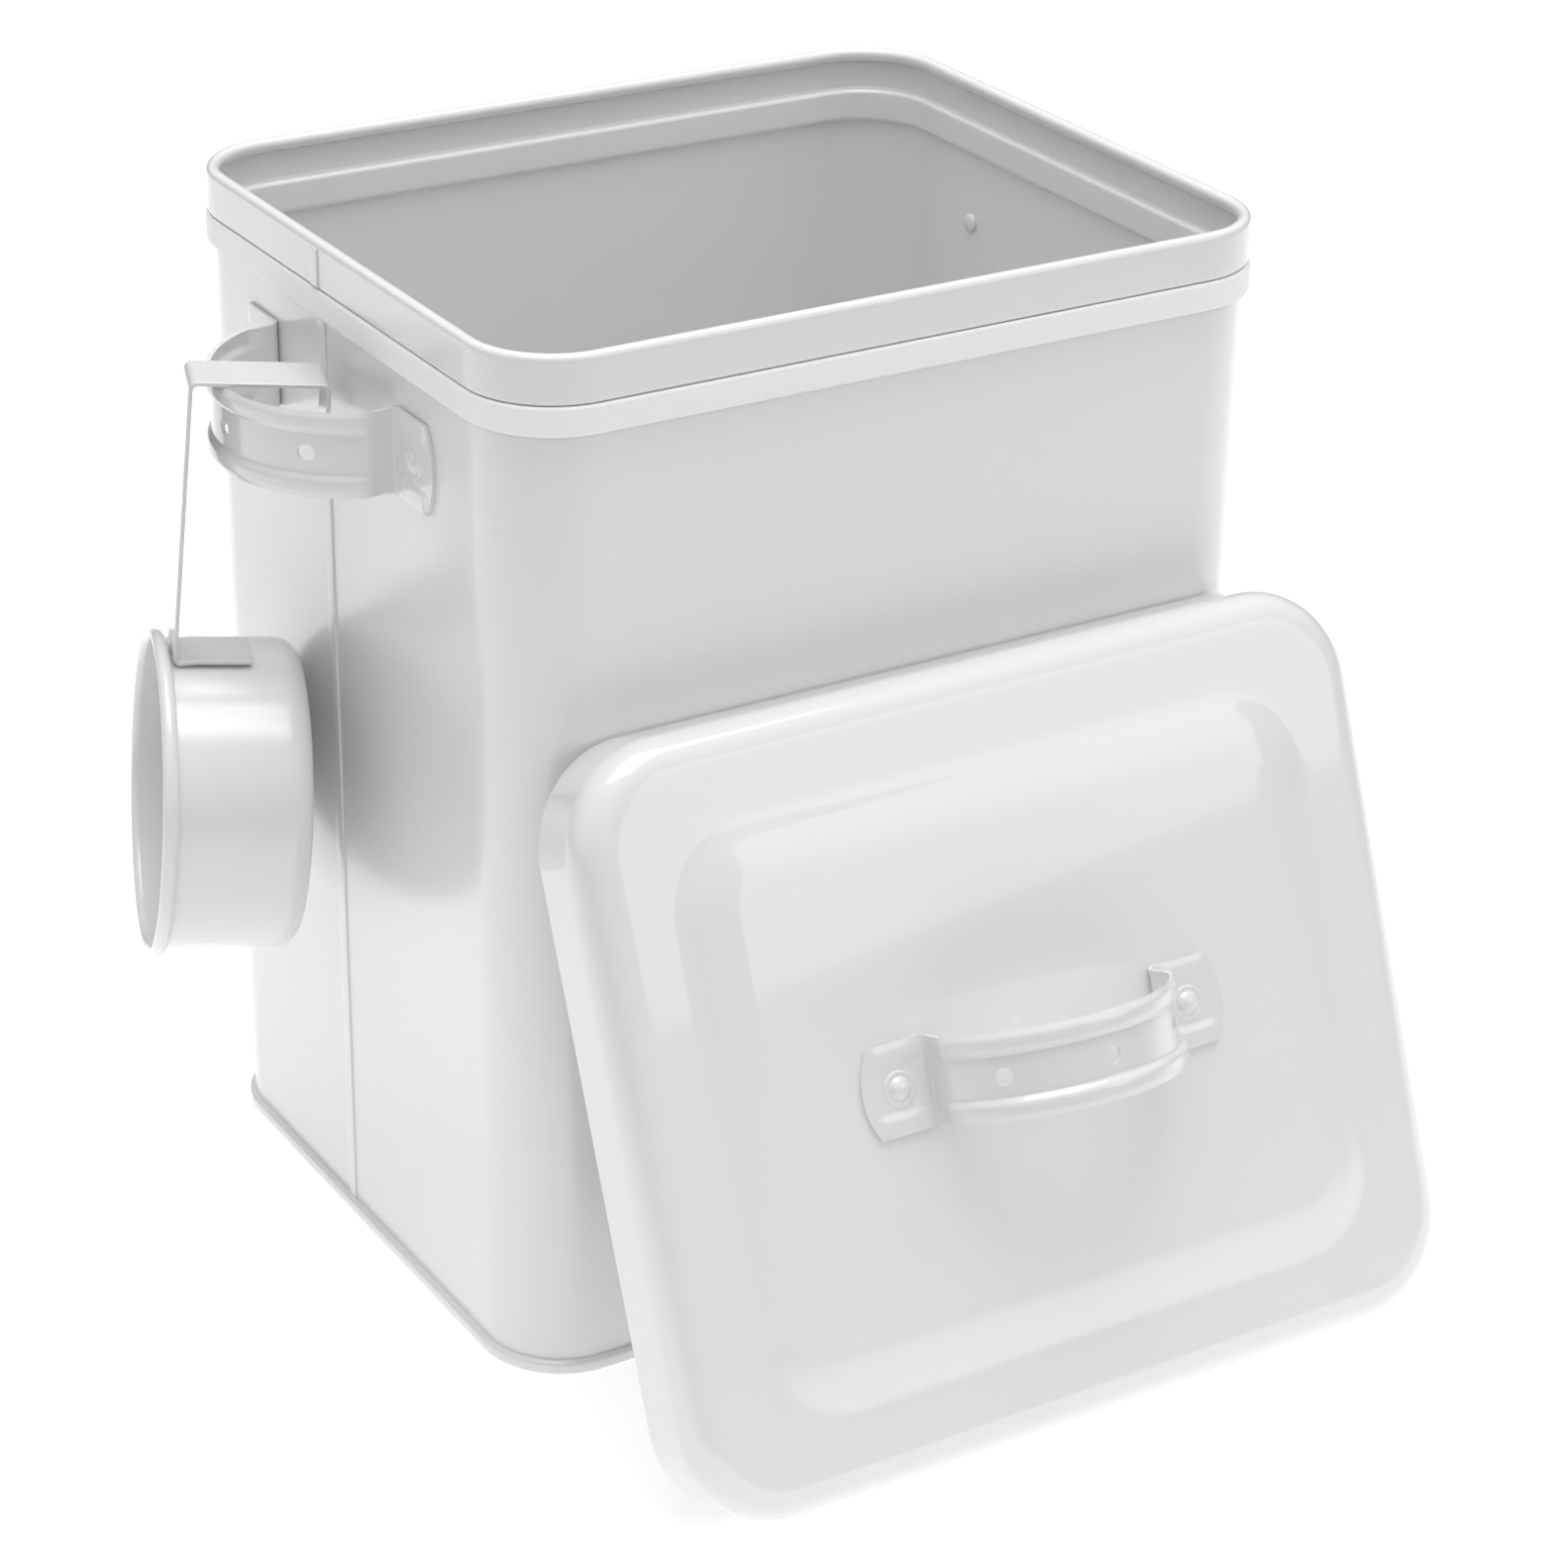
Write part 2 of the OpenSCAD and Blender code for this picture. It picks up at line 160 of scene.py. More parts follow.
def rounded(corners, turn=15, hold=1.2):
    """Points of a bent line, from corners given as (x, z, bend radius).

    A long straight gets a holding point beside each bend.
    """
    spots = [Vector(c[:2]) for c in corners]
    line = [spots[0]]
    for i in range(1, len(corners) - 1):
        here, r = spots[i], corners[i][2]
        back, ahead = (spots[i - 1] - here).normalized(), (spots[i + 1] - here).normalized()
        if r <= 0:
            line.append(here)
            continue
        half = back.angle(ahead) / 2
        reach = r / math.tan(half)
        centre = here + (back + ahead).normalized() * (r / math.sin(half))
        start, end = here + back * reach, here + ahead * reach
        swing = math.pi - 2 * half
        n = max(2, round(math.degrees(swing) / turn))
        if (start - line[-1]).length > 3 * hold:
            line.append(start + back * hold)
        arm = start - centre
        way = 1 if arm.x * (end - centre).y - arm.y * (end - centre).x > 0 else -1
        for k in range(n + 1):
            a = way * swing * k / n
            x = arm.x * math.cos(a) - arm.y * math.sin(a)
            z = arm.x * math.sin(a) + arm.y * math.cos(a)
            spot = centre + Vector((x, z))
            if (spot - line[-1]).length > NEAR:
                line.append(spot)
        if (spots[i + 1] - end).length > 3 * hold:
            line.append(end + ahead * hold)
    if (spots[-1] - line[-1]).length > NEAR:
        line.append(spots[-1])
    return line


def wrap_corner(piece, cx, cy, steps=20, hold=1.5):
    """Carries a line round one quarter of a rectangle with round corners.

    The line is drawn at y = cy and beyond x = cx, and the corner is centred on (cx, cy).
    """

    def on_line(p):
        return abs(p.y - cy) < NEAR and p.x > cx + NEAR

    pick(piece, on_line)
    spin_round(steps, -math.pi / 2, (cx, cy, 0))
    for way in ((-hold, 0, 0), (hold - cx, 0, 0)):
        extrude(way)
    pick(piece, on_line)
    for way in ((0, -hold, 0), (0, hold - cy, 0)):
        extrude(way)


def spin_round(steps, angle, centre=(0, 0, 0)):
    bpy.ops.mesh.spin(steps=steps, angle=angle, center=centre, axis=(0, 0, 1))


def on_round_edge(p, half_w, half_d, r):
    """Whether p lies on the outline of a rectangle with round corners."""
    dx, dy = abs(p.x) - (half_w - r), abs(p.y) - (half_d - r)
    if dx > 0 and dy > 0:
        return abs(math.hypot(dx, dy) - r) < NEAR
    return abs(dx - r) < NEAR and dy <= NEAR or abs(dy - r) < NEAR and dx <= NEAR


def turn_whole(name, line, steps):
    """A piece turned all round from its half section."""
    piece = new_piece(name, [(x, 0, z) for x, z in line])
    bpy.ops.mesh.select_all(action="SELECT")
    spin_round(steps, 2 * math.pi)
    done()
    clean(piece)
    return piece


def join(first, second):
    alone(first)
    second.select_set(True)
    bpy.ops.object.join()


def apply(piece, kind, **settings):
    alone(piece)
    modifier = piece.modifiers.new(kind.title(), kind)
    for name, value in settings.items():
        setattr(modifier, name, value)
    bpy.ops.object.modifier_apply(modifier=modifier.name)


def clean(piece, distance=NEAR):
    """Merges doubles and turns all faces outwards."""
    edit(piece)
    bpy.ops.mesh.select_all(action="SELECT")
    bpy.ops.mesh.remove_doubles(threshold=distance)
    bpy.ops.mesh.select_all(action="SELECT")
    bpy.ops.mesh.normals_make_consistent(inside=False)
    done()


def mirror_quarters(piece):
    done()
    apply(piece, "MIRROR", use_axis=(True, True, False), merge_threshold=NEAR)
    clean(piece)


def thicken(piece, thick):
    apply(piece, "SOLIDIFY", thickness=thick, offset=0, use_even_offset=True)
    clean(piece)


def ease_edges(piece, width, segments):
    sharp = math.radians(50)
    apply(piece, "BEVEL", width=width, segments=segments, limit_method="ANGLE", angle_limit=sharp)


def smooth(piece, angle=35):
    alone(piece)
    bpy.ops.object.shade_smooth_by_angle(angle=math.radians(angle))


def place(piece, where=Matrix.Identity(4)):
    """Puts a piece drawn in millimetres in its place in the bin's frame, in metres."""
    alone(piece)
    piece.matrix_world = Matrix.Scale(MM, 4) @ where
    bpy.ops.object.transform_apply(location=True, rotation=True, scale=True)


def copy(piece, name):
    twin = piece.copy()
    twin.data = piece.data.copy()
    twin.name = twin.data.name = name
    bpy.context.scene.collection.objects.link(twin)
    return twin


def turned(x=0, y=0, z=0):
    turn = Matrix.Rotation(math.radians(z), 4, "Z") @ Matrix.Rotation(math.radians(y), 4, "Y")
    return turn @ Matrix.Rotation(math.radians(x), 4, "X")


def moved(x, y, z):
    return Matrix.Translation((x, y, z))


def ease(x, low, high):
    t = min(1, max(0, (x - low) / (high - low)))
    return t * t * (3 - 2 * t)


# ---- where the loose pieces and the handles sit ----

LEAN = math.sin(math.radians(LID_LEAN))
LID_FOOT = moved(LID_SHIFT, -BIN_D / 2 - LEAN_GAP - LID_D * LEAN, LEAN_GAP)
ON_LID = LID_FOOT @ turned(x=90 - LID_LEAN) @ moved(0, LID_D / 2, 0)
ON_LID_PANEL = ON_LID @ moved(0, 0, LID_H + PANEL_RISE)
ON_LEFT = moved(-BIN_W / 2, HANDLE_Y, HANDLE_Z) @ turned(x=90, z=-90)
ON_RIGHT = moved(BIN_W / 2, HANDLE_Y, HANDLE_Z) @ turned(x=90, z=90)
ON_SCOOP = moved(*SCOOP_AT) @ turned(SCOOP_ROLL, SCOOP_TILT, -SCOOP_TURN)
ON_CUP = ON_SCOOP @ moved(-STRAP_BACK, 0, -STRAP_L - CUP_R) @ turned(y=90)


# ---- materials ----


class Flow:
    """A socket that takes part in sums; each sum adds its Math node."""

    def __init__(self, recipe, socket):
        self.recipe, self.socket = recipe, socket

    def sum_with(self, operation, first, second):
        return self.recipe.add("Math", {"operation": operation}, {0: first, 1: second})

    def __add__(self, other):
        return self.sum_with("ADD", self, other)

    def __sub__(self, other):
        return self.sum_with("SUBTRACT", self, other)

    def __rsub__(self, other):
        return self.sum_with("SUBTRACT", other, self)

    def __mul__(self, other):
        return self.sum_with("MULTIPLY", self, other)

    __radd__ = __add__
    __rmul__ = __mul__

    def above(self, level):
        return self.sum_with("GREATER_THAN", self, level)


class Recipe:
    """One material's nodes."""

    def __init__(self, name):
        self.material = bpy.data.materials.new(name)
        self.material.use_nodes = True
        self.tree = self.material.node_tree
        self.shader = self.tree.nodes["Principled BSDF"]
        self.place = self.add("TexCoord", out="Object")

    def add(self, kind, settings=None, sockets=None, out=0):
        node = self.tree.nodes.new("ShaderNode" + kind)
        for name, value in (settings or {}).items():
            setattr(node, name, value)
        for name, value in (sockets or {}).items():
            if isinstance(value, Flow):
                self.tree.links.new(value.socket, node.inputs[name])
            else:
                node.inputs[name].default_value = value
        return Flow(self, node.outputs[out])

    def noise(self, per_metre, detail=2, roughness=0.5):
        sockets = {"Vector": self.place, "Scale": per_metre, "Detail": detail}
        return self.add("TexNoise", {}, {**sockets, "Roughness": roughness})

    def blend(self, share, one, other):
        """A colour between one and other."""
        return self.add("Mix", {"data_type": "RGBA"}, {0: share, 6: one, 7: other}, out=2)

    def feed(self, **sockets):
        for name, value in sockets.items():
            socket = self.shader.inputs[name.replace("_", " ")]
            if isinstance(value, Flow):
                self.tree.links.new(value.socket, socket)
            else:
                socket.default_value = value


def grey(level, warmth=0.0):
    return (level * (1 + warmth), level, level * (1 - warmth), 1)


def enamel_recipe(name, level, wave=1.0, haze=0.04):
    """Stoved gloss enamel on sheet steel.

    It has a soft wave in the sheet, a fine orange peel, and faint handling marks.
    """
    r = Recipe(name)
    wide, peel, marks, specks = r.noise(9, 1), r.noise(420, 2), r.noise(38, 4, 0.6), r.noise(900, 1)
    tone = wide * 0.6 + marks * 0.4
    pits = (specks - 0.74).above(0) * 0.5
    r.feed(
        Base_Color=r.blend(tone, grey(level * 0.985), grey(level * 1.015)),
        Roughness=marks * 0.10 + pits * 0.2 + 0.20,
    )
    height = wide * (wave * 0.7) + marks * 0.05 + peel * 0.010
    r.feed(Normal=r.add("Bump", {}, {"Strength": 0.35, "Distance": 0.001, "Height": height}))
    r.feed(IOR=1.5, Coat_Weight=1.0, Coat_Roughness=haze, Coat_IOR=1.6)
    return r.material


def silicone_recipe(name):
    """Smooth moulded silicone: milky, with a satin skin and a fine moulding grain."""
    r = Recipe(name)
    skin, cloud = r.noise(1500, 3), r.noise(25, 3)
    grain = skin * 0.4 + cloud
    r.feed(
        Base_Color=r.blend(cloud, grey(0.965, 0.003), grey(0.985, 0.002)),
        Roughness=skin * 0.16 + cloud * 0.08 + 0.30,
        Normal=r.add("Bump", {}, {"Strength": 0.3, "Distance": 0.0002, "Height": grain}),
        Subsurface_Weight=0.15,
        Subsurface_Radius=(0.004, 0.004, 0.004),
    )
    return r.material


ENAMEL = enamel_recipe("pale_enamel", 0.82, haze=0.2)
LID_ENAMEL = enamel_recipe("lid_enamel", 0.82, 0.5)
SMALL_ENAMEL = enamel_recipe("fittings_enamel", 0.78, 0.1)
SCOOP_ENAMEL = enamel_recipe("scoop_enamel", 0.80, 0.1, haze=0.22)
# Painted shade: the hanger is the cup's enamel made darker (0.68), so its upward-facing hook top
# and arm render less bright under the overhead light
SHADED_HANGER_ENAMEL = enamel_recipe("hanger_enamel_painted_shade", 0.68, 0.1, haze=0.1)
SILICONE = silicone_recipe("white_silicone")


def finish(piece, material, body, slot, *nodes):
    piece.data.materials.clear()
    piece.data.materials.append(material)
    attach(piece, body)
    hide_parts(*nodes)


# ---- the bin's wall: one sheet with its groove, neck and rolled-in rim ----


def draw_wall():
    out = CORNER_R - SHEET_T / 2
    groove = CORNER_R - GROOVE_T - SHEET_T / 2
    foot = BEAD_H - WALL_IN_BEAD
    neck = out + NECK_OUT
    roll = neck - RIM_ROLL_W + SHEET_T
    crown = BIN_H - SHEET_T / 2
    under = BIN_H - RIM_ROLL_H + SHEET_T / 2
    bend = (RIM_ROLL_W - SHEET_T) / 2 - ROLL_PLAY
    low, top = GROOVE_LOW - SHEET_T / 2, GROOVE_TOP + SHEET_T / 2
    corners = [
        (out, foot, 0),
        (out, low, FOLD_R),
        (groove, low, FOLD_R),
        (groove, top, FOLD_R),
        (neck, top, FOLD_R),
        (neck, crown, bend),
        (roll, crown, bend),
        (roll, under, bend),
        (neck - SHEET_T - ROLL_END_GAP, under, 0),
    ]
    cx, cy = BIN_W / 2 - CORNER_R, BIN_D / 2 - CORNER_R
    line = [(cx + p.x, cy, p.y) for p in rounded(corners)]
    wall = new_piece("bin_wall", line)
    wrap_corner(wall, cx, cy)
    mirror_quarters(wall)
    thicken(wall, SHEET_T)
    smooth(wall)
    place(wall)
    return wall


def draw_seam():
    """The folded upright seam on the left side, below the gasket and in the neck."""
    strips = []
    spans = (
        (BEAD_H - SEAM_IN_BEAD, GROOVE_LOW - SHEET_T, 0),
        (GROOVE_TOP + SHEET_T, BIN_H - SEAM_BELOW_RIM, NECK_OUT),
    )
    for low, top, out in spans:
        bpy.ops.object.select_all(action="DESELECT")
        bpy.ops.mesh.primitive_cube_add(size=1)
        strip = bpy.context.object
        edit(strip)
        bpy.ops.mesh.select_all(action="SELECT")
        bpy.ops.transform.resize(value=(SEAM_T + SHEET_T / 2, SEAM_W, top - low))
        middle = -BIN_W / 2 - out + (SHEET_T / 2 - SEAM_T) / 2
        bpy.ops.transform.translate(value=(middle, SEAM_Y, (top + low) / 2))
        pick(strip, lambda p: p.x < -BIN_W / 2 - out - SEAM_T + NEAR)
        bpy.ops.mesh.bevel(offset=SEAM_EDGE_R, segments=4, affect="EDGES")
        done()
        strips.append(strip)
    join(*strips)
    strip = bpy.context.object
    strip.name = strip.data.name = "side_seam"
    clean(strip)
    smooth(strip, 50)
    place(strip)
    return strip


def draw_base():
    """The bead folded round the wall's foot, and the sunk base panel inside it."""
    cx, cy = BIN_W / 2 - CORNER_R, BIN_D / 2 - CORNER_R
    inner, outer = CORNER_R - SHEET_T - BEAD_IN, CORNER_R + BEAD_OUT
    corners = [
        (inner, BEAD_H / 2, 0),
        (inner, 0, BEAD_INNER_R),
        (outer, 0, BEAD_OUTER_R),
        (outer, BEAD_H, BEAD_OUTER_R),
        (inner, BEAD_H, BEAD_INNER_R),
        (inner, BEAD_H / 2, 0),
    ]
    line = [(cx + p.x, cy, p.y) for p in rounded(corners, 15, 0.6)][:-1]
    base = new_piece("base_bead_and_panel", line)
    close_line(base, line[0], line[-1])
    wrap_corner(base, cx, cy)
    mirror_quarters(base)
    smooth(base)

    level = BASE_TOP - SHEET_T / 2
    side, flat_r = inner - BASE_PLAY, inner - BASE_BORDER
    corners = [(side, BASE_FOOT, 0), (side, level, FOLD_R), (flat_r, level, 0)]
    line = [(cx + p.x, cy, p.y) for p in rounded(corners)]
    panel = new_piece("panel", line)
    wrap_corner(panel, cx, cy)
    mirror_quarters(panel)
    edit(panel)
    flat_x, flat_y = cx + flat_r, cy + flat_r
    pick(panel, lambda p: abs(p.z - level) < NEAR and on_round_edge(p, flat_x, flat_y, flat_r))
    bpy.ops.mesh.edge_face_add()
    done()
    thicken(panel, SHEET_T)
    smooth(panel)
    join(base, panel)
    place(base)
    return base


def draw_gasket():
    cx, cy = BIN_W / 2 - CORNER_R, BIN_D / 2 - CORNER_R
    inner, outer = CORNER_R - GROOVE_T + GASKET_PLAY, CORNER_R + GASKET_OUT
    low, top = GROOVE_LOW + GASKET_PLAY, GROOVE_TOP - GASKET_PLAY
    middle = (low + top) / 2
    corners = [
        (inner, middle, 0),
        (inner, low, GASKET_BACK_R),
        (outer, low, GASKET_EDGE_R),
        (outer, top, GASKET_EDGE_R),
        (inner, top, GASKET_BACK_R),
        (inner, middle, 0),
    ]
    line = [(cx + p.x, cy, p.y) for p in rounded(corners, 15, 0.8)][:-1]
    gasket = new_piece("gasket_band", line)
    close_line(gasket, line[0], line[-1])
    wrap_corner(gasket, cx, cy)
    mirror_quarters(gasket)
    smooth(gasket)
    place(gasket)
    return gasket


# ---- handles: a pressed strap, bent over a path ----

LEG_X = ARCH_FOOT - RIB_H - HANDLE_T / 2
PATH_R = ARCH_R - RIB_H - HANDLE_T / 2
ARCH_Z = ARCH_H - ARCH_R


def handle_path():
    """The line the strap's middle follows, from one tab end to the other."""
    kink = math.asin(LEG_X / PATH_R)
    right = [
        (HANDLE_L / 2, HANDLE_T / 2, 0),
        (LEG_X, HANDLE_T / 2, TAB_BEND_R),
        (LEG_X, ARCH_Z + PATH_R * math.cos(kink), ARCH_BEND_R),
    ]
    steps = 60
    arch = []
    for k in range(1, steps):
        a = kink - 2 * kink * k / steps
        arch.append((PATH_R * math.sin(a), ARCH_Z + PATH_R * math.cos(a), 0))
    left = [(-x, z, r) for x, z, r in reversed(right)]
    return rounded(right + arch + left, 8, 50)


def along(line):
    return sum((b - a).length for a, b in zip(line, line[1:]))


def bend_along(piece, line):
    """Bends a flat strip, drawn along x with its width along z, over a path in the xy plane."""
    bpy.ops.object.select_all(action="DESELECT")
    shape = bpy.data.curves.new("bending_path", "CURVE")
    shape.dimensions = "3D"
    shape.twist_mode = "Z_UP"
    spline = shape.splines.new("POLY")
    spline.points.add(len(line) - 1)
    for point, spot in zip(spline.points, line):
        point.co = (spot.x, spot.y, 0, 1)
    path = bpy.data.objects.new("bending_path", shape)
    bpy.context.scene.collection.objects.link(path)
    apply(piece, "CURVE", object=path, deform_axis="POS_X")
    bpy.data.objects.remove(path)


def flat_strip(name, length, width, columns, rows):
    bpy.ops.object.select_all(action="DESELECT")
    bpy.ops.mesh.primitive_grid_add(x_subdivisions=columns, y_subdivisions=rows, size=1)
    strip = bpy.context.object
    strip.name = strip.data.name = name
    edit(strip)
    bpy.ops.mesh.select_all(action="SELECT")
    bpy.ops.transform.resize(value=(length, width, 1))
    bpy.ops.transform.translate(value=(length / 2, 0, 0))
    bpy.ops.transform.rotate(value=math.pi / 2, orient_axis="X", center_override=(0, 0, 0))
    return strip


def round_strip_ends(strip, length, width, rows, reach, end_r, widen=1.0):
    """Draws the strip's square ends back into arcs, row by row."""
    for row in range(rows // 2 + 1):
        z = row * width / rows
        back = end_r - math.sqrt(end_r**2 - (z * widen) ** 2)
        for end, sign in ((0, 1), (length, -1)):
            hinge = end + sign * reach
            pick(strip, lambda p: abs(abs(p.z) - z) < NEAR and (p.x - hinge) * sign < 0)
            share = (reach - back) / reach
            bpy.ops.transform.resize(value=(share, 1, 1), center_override=(hinge, 0, 0))


def strap_handle():
    """The strap with its ribs, turned-down edges, flat tabs and grip holes."""
    line = handle_path()
    length = along(line)
    columns, rows = 280, 50
    strap = flat_strip("handle", length, ARCH_W, columns, rows)
    tab = HANDLE_L / 2 - LEG_X
    round_strip_ends(strap, length, ARCH_W, rows, 12, TAB_END_R, TAB_W / ARCH_W)
    for row in range(rows // 2 + 1):
        z = row * ARCH_W / rows
        rise = RIB_H * ease(z, RIB_FROM, RIB_FULL) - EDGE_DROP * ease(z, EDGE_FROM, EDGE_FULL)
        if rise > 0:
            pick(strap, lambda p: abs(abs(p.z) - z) < NEAR)
            bpy.ops.transform.translate(value=(0, rise, 0))
    for column in range(columns // 2 + 1):
        x = column * length / columns
        on_arch = ease(x, tab + 3, tab + 12)
        on_tab = TAB_SHARE * ease(x, 3, 6) * (1 - ease(x, tab - 5, tab - 2))
        wide = 1 + (TAB_W / ARCH_W - 1) * (1 - ease(x, tab - 3, tab + 3))
        if on_arch > 0.999:
            break
        near = length / columns / 2
        pick(strap, lambda p: abs(min(p.x, length - p.x) - x) < near)
        high = max(on_arch, on_tab, FLAT_SHARE)
        bpy.ops.transform.resize(value=(1, high, wide), center_override=(0, 0, 0))
    done()
    apply(strap, "SOLIDIFY", thickness=HANDLE_T, offset=0)
    swing = math.asin(GRIP_HOLE_PITCH / (ARCH_R - RIB_H)) * PATH_R
    for hole in (-1, 0, 1):
        bpy.ops.object.select_all(action="DESELECT")
        bpy.ops.mesh.primitive_cylinder_add(
            vertices=40,
            radius=GRIP_HOLE_R,
            depth=8,
            location=(length / 2 + hole * swing, 0, 0),
            rotation=(math.pi / 2, 0, 0),
        )
        drill = bpy.context.object
        apply(strap, "BOOLEAN", operation="DIFFERENCE", object=drill, solver="EXACT")
        bpy.data.objects.remove(drill)
    ease_edges(strap, STRAP_EDGE, 2)
    bend_along(strap, [Vector((-p.x, p.y)) for p in line])
    clean(strap, 0.0005)
    smooth(strap, 40)
    return strap


def draw_rivet():
    """Domed head in its pressed ring, shank, and closed tail."""
    line = RIVET_DOME + RIVET_RING + RIVET_SHANK + RIVET_TAIL
    rivet = turn_whole("rivet", line, 40)
    smooth(rivet, 50)
    return rivet


# ---- lid: drawn lying down, open edge at z = 0 ----


def draw_lid():
    out = LID_R - SHEET_T / 2
    top = LID_H - SHEET_T / 2
    corners = [
        (out - LID_HEM_T, LID_HEM_H, 0),
        (out - LID_HEM_T, SHEET_T / 2, LID_HEM_R),
        (out, SHEET_T / 2, LID_HEM_R),
        (out, top, SHOULDER_R - SHEET_T / 2),
        (LID_INNER_R, top, 0),
    ]
    cx, cy = LID_W / 2 - LID_R, LID_D / 2 - LID_R
    skirt = [(cx + p.x, cy, p.y) for p in rounded(corners, 7.5, 1.5)]
    lid = new_piece("lid", skirt)
    wrap_corner(lid, cx, cy)

    panel_w, panel_d = LID_W - 2 * BORDER_W, LID_D - 2 * BORDER_W
    px, py = panel_w / 2 - PANEL_R, panel_d / 2 - PANEL_R
    rim_r, flat_r = PANEL_R + PANEL_RIM, PANEL_R - PANEL_SLOPE - PANEL_FLAT
    slope = [(rim_r, 0), (PANEL_R + PANEL_RIM_HOLD, 0)]
    for k in range(PANEL_STEPS + 1):
        t = k / PANEL_STEPS
        first, second = ease(t, 0, 0.5), ease(t, 0.1, 1)
        rise = PANEL_RISE * (PANEL_FIRST_SHARE * first + (1 - PANEL_FIRST_SHARE) * second)
        slope.append((PANEL_R - PANEL_SLOPE * t, rise))
    slope += [(PANEL_R - PANEL_SLOPE - PANEL_HOLD, PANEL_RISE), (flat_r, PANEL_RISE)]
    draw_on([(px + x, py, top + z) for x, z in slope])
    wrap_corner(lid, px, py)

    def on_border_edge(p):
        outer = on_round_edge(p, cx + LID_INNER_R, cy + LID_INNER_R, LID_INNER_R)
        return abs(p.z - top) < NEAR and (outer or on_round_edge(p, px + rim_r, py + rim_r, rim_r))

    pick(lid, on_border_edge)
    bpy.ops.mesh.bridge_edge_loops()
    mirror_quarters(lid)
    edit(lid)
    flat_x, flat_y, crest = px + flat_r, py + flat_r, top + PANEL_RISE - NEAR
    pick(lid, lambda p: p.z > crest and on_round_edge(p, flat_x, flat_y, flat_r))
    bpy.ops.mesh.edge_face_add()
    done()
    clean(lid)
    thicken(lid, SHEET_T)
    smooth(lid)
    place(lid, ON_LID)
    return lid


# ---- scoop ----


def draw_cup():
    """The cup, with its mouth curled outwards."""
    wall = CUP_R - CUP_T / 2
    bottom = CUP_D - CUP_T / 2
    curl_r = CUP_BEAD_R - CUP_T / 2
    curl_h = (CURL_L - CUP_T) / 2
    x, z = CUP_R - CUP_T + CUP_BEAD_R, CURL_L / 2
    curl = []
    for k in range(CURL_STEPS + 1):
        a = math.radians(CURL_FROM - k * CURL_SWEEP / CURL_STEPS)
        curl.append((x + curl_r * math.cos(a), z + curl_h * math.sin(a)))
    body = [(wall, z + 0.3, 0), (wall, bottom, CUP_ROUND - CUP_T / 2), (0, bottom, 0)]
    line = curl + [(p.x, p.y) for p in rounded(body, 10, 1.2)]
    cup = turn_whole("scoop_bowl", line, 96)
    thicken(cup, CUP_T)
    smooth(cup)
    place(cup, ON_CUP)
    return cup


def draw_scoop_strap():
    """The flat hanger: foot on the cup, upright arm, hook over the handle, and lip."""
    half = STRAP_T / 2
    corners = [
        (STRAP_FOOT, -STRAP_L + half, 0),
        (half, -STRAP_L + half, 2.0),
        (half, -half, 2.0),
        (HOOK_L - half, -half, 2.0),
        (HOOK_L - half, -LIP_L, 0),
    ]
    line = rounded(corners, 8, 500)
    length = along(line)
    columns, rows = 300, 16
    strap = flat_strip("scoop_hanger", length, STRAP_W, columns, rows)
    foot = STRAP_FOOT - half
    for row in range(1, rows // 2 + 1):
        z = row * STRAP_W / rows
        sag = CUP_R - math.sqrt(CUP_R**2 - z**2)
        for k in range(FOOT_STEPS):
            reach = foot - FOOT_MARGIN - k * FOOT_STEP
            pick(strap, lambda p: abs(abs(p.z) - z) < NEAR and p.x < reach)
            bpy.ops.transform.translate(value=(0, -sag / FOOT_STEPS, 0))
    done()
    apply(strap, "SOLIDIFY", thickness=STRAP_T, offset=0)
    ease_edges(strap, HANGER_EDGE, 3)
    bend_along(strap, line)
    clean(strap, 0.0005)
    smooth(strap, 40)
    place(strap, ON_SCOOP @ turned(x=90))
    return strap


# ---- making and fitting the pieces ----

finish(draw_wall(), ENAMEL, "bin", "enamel", "body_shell")
finish(draw_seam(), ENAMEL, "bin", "enamel", "body_shell")
finish(draw_base(), ENAMEL, "bin", "enamel", "base_panel")
finish(draw_gasket(), SILICONE, "bin", "gasket_silicone", "gasket")

strap = strap_handle()
upright = turned(x=90)
handles = [
    ("handle_on_left", ON_LEFT, "bin", "left_handle"),
    ("handle_on_right", ON_RIGHT, "bin", "right_handle"),
    ("handle_on_lid", ON_LID_PANEL, "lid", "lid_handle"),
]
for name, where, body, node in handles:
    handle = copy(strap, name)
    place(handle, where @ upright)
    finish(handle, SMALL_ENAMEL, body, "enamel", node)
bpy.data.objects.remove(strap)

rivet = draw_rivet()
rivets = [
    ("rivet_left_front", ON_LEFT, 1, "bin"),
    ("rivet_left_rear", ON_LEFT, -1, "bin"),
    ("rivet_right_front", ON_RIGHT, -1, "bin"),
    ("rivet_right_rear", ON_RIGHT, 1, "bin"),
    ("lid_rivet_left", ON_LID_PANEL, -1, "lid"),
    ("lid_rivet_right", ON_LID_PANEL, 1, "lid"),
]
for node, where, end, body in rivets:
    head = copy(rivet, node + "_domed")
    place(head, where @ moved(end * RIVET_PITCH / 2, 0, 0))
    finish(head, SMALL_ENAMEL, body, "enamel", node)
bpy.data.objects.remove(rivet)

finish(draw_lid(), LID_ENAMEL, "lid", "enamel", "lid_pan")
finish(draw_cup(), SCOOP_ENAMEL, "scoop", "scoop_enamel", "scoop_cup")
# The hanger wears the darker copy of the scoop enamel, which is painted shade
finish(draw_scoop_strap(), SHADED_HANGER_ENAMEL, "scoop", "scoop_enamel", "scoop_strap")


# ---- floor, light and camera, in metres ----

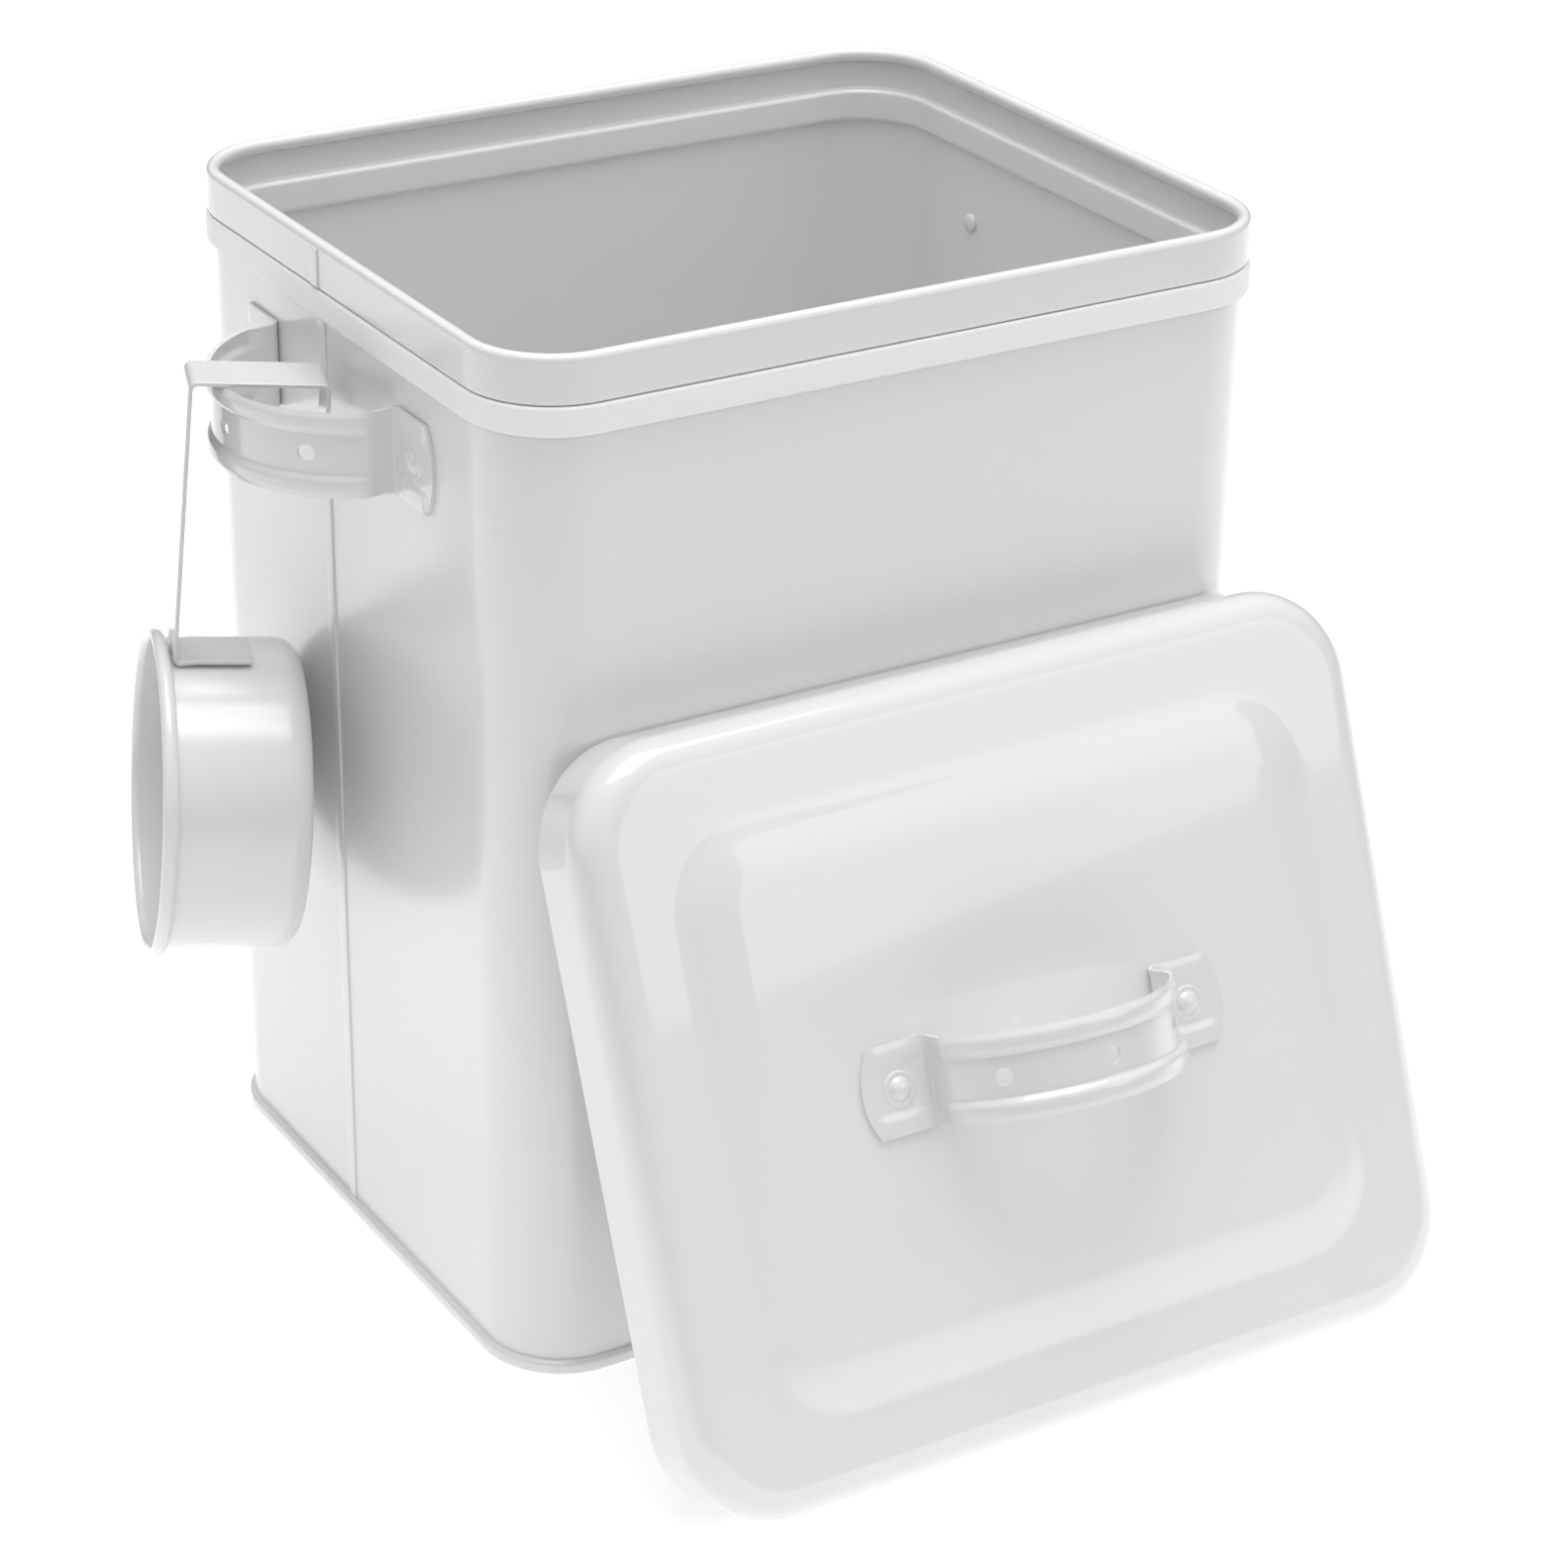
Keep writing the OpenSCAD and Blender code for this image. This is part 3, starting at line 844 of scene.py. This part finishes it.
FLOOR_SIZE, FLOOR_DROP = 14, 0.0003
# The floor's glow is painted light, strongest near the bin, where it washes out the bin's shadow on
# the floor
GLOW_AT, GLOW_NEAR, GLOW_FAR = (0.35, 0.75, 0), 1.08, 1.9
GLOW_LEVEL, DIM_LEVEL, FLOOR_LEVEL = 0.68, 0.10, 0.50
ROOM_LOW, ROOM_HIGH = 0.09, 1.1

# name, size, place, aim, power
SOFTBOXES = [
    ("roof_box", (1.2, 1.0), (0.05, -0.05, 1.75), (0, 0, 0.2), 14),
    ("left_box", (0.5, 1.4), (-1.8, -0.1, 1.0), (0, 0, 0.2), 0.5),
    ("right_box", (0.9, 0.8), (1.15, -1.80, 0.90), (0, -0.15, 0.15), 2.6),
]

CAMERA_AT = (-0.5944, -1.0059, 0.6979)
CAMERA_YAW, CAMERA_PITCH, CAMERA_ROLL = 0.5515455, 0.4566321, 0.0162153
# The focal length as a share of the picture's width, and the sensor's width in millimetres
FOCAL_SHARE, SENSOR_W = 4174.88 / 1583, 36


def draw_floor():
    """A pale table that glows under and behind the bin, and is dimmer further out. The glow is
    painted light: it washes out the bin's shadow on the floor and lights the bin's lower walls from
    below.
    """
    bpy.ops.object.select_all(action="DESELECT")
    bpy.ops.mesh.primitive_grid_add(
        x_subdivisions=2, y_subdivisions=2, size=FLOOR_SIZE, location=(0, 0, -FLOOR_DROP)
    )
    floor = bpy.context.object
    floor.name = "pale_floor"
    r = Recipe("pale_floor")
    reach = r.add("VectorMath", {"operation": "DISTANCE"}, {0: r.place, 1: GLOW_AT}, out="Value")
    fade = {"Value": reach, "From Min": GLOW_NEAR, "From Max": GLOW_FAR}
    far = r.add("MapRange", {"interpolation_type": "SMOOTHSTEP"}, fade)
    # Painted light: the emission glows most near the bin, filling the bin's shadow on the floor
    glow = r.blend(far, grey(GLOW_LEVEL), grey(DIM_LEVEL))
    r.feed(Base_Color=grey(FLOOR_LEVEL), Roughness=0.9, Emission_Color=glow, Emission_Strength=1.0)
    floor.data.materials.append(r.material)


def softbox(name, size, at, aim, power):
    light = bpy.data.lights.new(name, "AREA")
    light.shape = "RECTANGLE"
    light.size, light.size_y = size
    light.energy = power
    lamp = bpy.data.objects.new(name, light)
    bpy.context.scene.collection.objects.link(lamp)
    lamp.location = at
    lamp.rotation_mode = "QUATERNION"
    lamp.rotation_quaternion = (Vector(aim) - Vector(at)).to_track_quat("-Z", "Y")


def soft_room():
    """A plain room, pale overhead and greyer towards its walls."""
    world = bpy.data.worlds.new("soft_room")
    world.use_nodes = True
    tree = world.node_tree
    coords = tree.nodes.new("ShaderNodeTexCoord")
    split = tree.nodes.new("ShaderNodeSeparateXYZ")
    ramp = tree.nodes.new("ShaderNodeValToRGB")
    tree.links.new(coords.outputs["Generated"], split.inputs[0])
    tree.links.new(split.outputs["Z"], ramp.inputs[0])
    tree.links.new(ramp.outputs[0], tree.nodes["Background"].inputs["Color"])
    ramp.color_ramp.elements[0].color = grey(ROOM_LOW)
    ramp.color_ramp.elements[1].color = grey(ROOM_HIGH)
    bpy.context.scene.world = world


def put_camera():
    lens = bpy.data.cameras.new("camera")
    lens.sensor_width = SENSOR_W
    lens.lens = FOCAL_SHARE * SENSOR_W
    camera = bpy.data.objects.new("camera", lens)
    bpy.context.scene.collection.objects.link(camera)
    forth, aside = math.cos(CAMERA_YAW), math.sin(CAMERA_YAW)
    flat, down = math.cos(CAMERA_PITCH), math.sin(CAMERA_PITCH)
    ahead = Vector((aside * flat, forth * flat, -down))
    level = Vector((forth, -aside, 0))
    upward = level.cross(ahead)
    across = level * math.cos(CAMERA_ROLL) + upward * math.sin(CAMERA_ROLL)
    upward = upward * math.cos(CAMERA_ROLL) - level * math.sin(CAMERA_ROLL)
    facing = Matrix((across, upward, -ahead)).transposed().to_4x4()
    camera.matrix_world = Matrix.Translation(CAMERA_AT) @ facing
    bpy.context.scene.camera = camera


draw_floor()
for box in SOFTBOXES:
    softbox(*box)
soft_room()
bpy.context.scene.view_settings.view_transform = "Standard"
put_camera()
